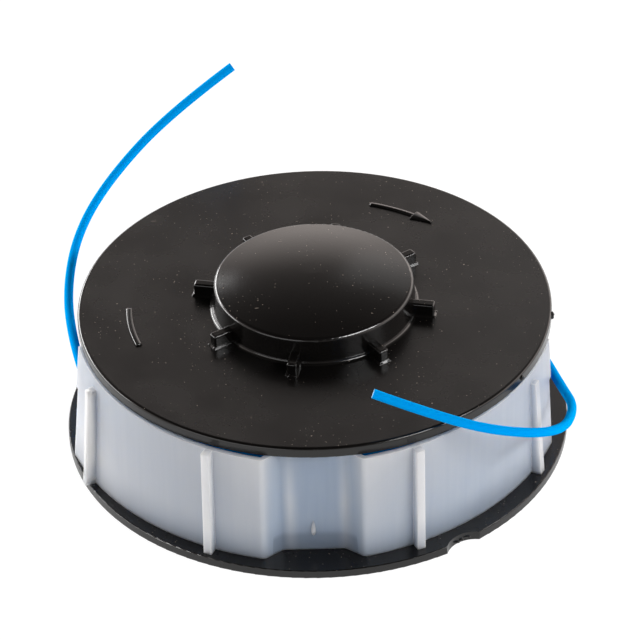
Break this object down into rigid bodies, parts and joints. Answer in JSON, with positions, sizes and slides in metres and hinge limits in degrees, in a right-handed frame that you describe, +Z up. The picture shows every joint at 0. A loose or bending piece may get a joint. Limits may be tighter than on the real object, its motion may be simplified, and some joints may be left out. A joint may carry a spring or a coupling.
{
  "type": "trimmer line spool",
  "caption": "Black grass trimmer spool with a domed tap hub, wound with blue nylon line and held by a clear keeper ring, both line ends free",
  "frame": {"origin": "on the spool's axis, at the underside of the bottom flange", "axes": "+Z up along the spool's axis towards the tap hub, -Y towards the picture's viewer, +X to the viewer's right"},
  "size_m": [0.087, 0.0994, 0.038],
  "materials": {
    "spool_nylon": "glass-filled nylon, satin, dark warm grey",
    "ring_polypropylene": "natural polypropylene, milky and translucent",
    "line_nylon": "nylon monofilament, bright blue, glossy"
  },
  "bodies": {
    "root": {"spool": "spool_nylon", "keeper_ring": "ring_polypropylene", "line_winding": "line_nylon", "line_end_left": "line_nylon", "line_end_right": "line_nylon"}
  },
  "joints": []
}
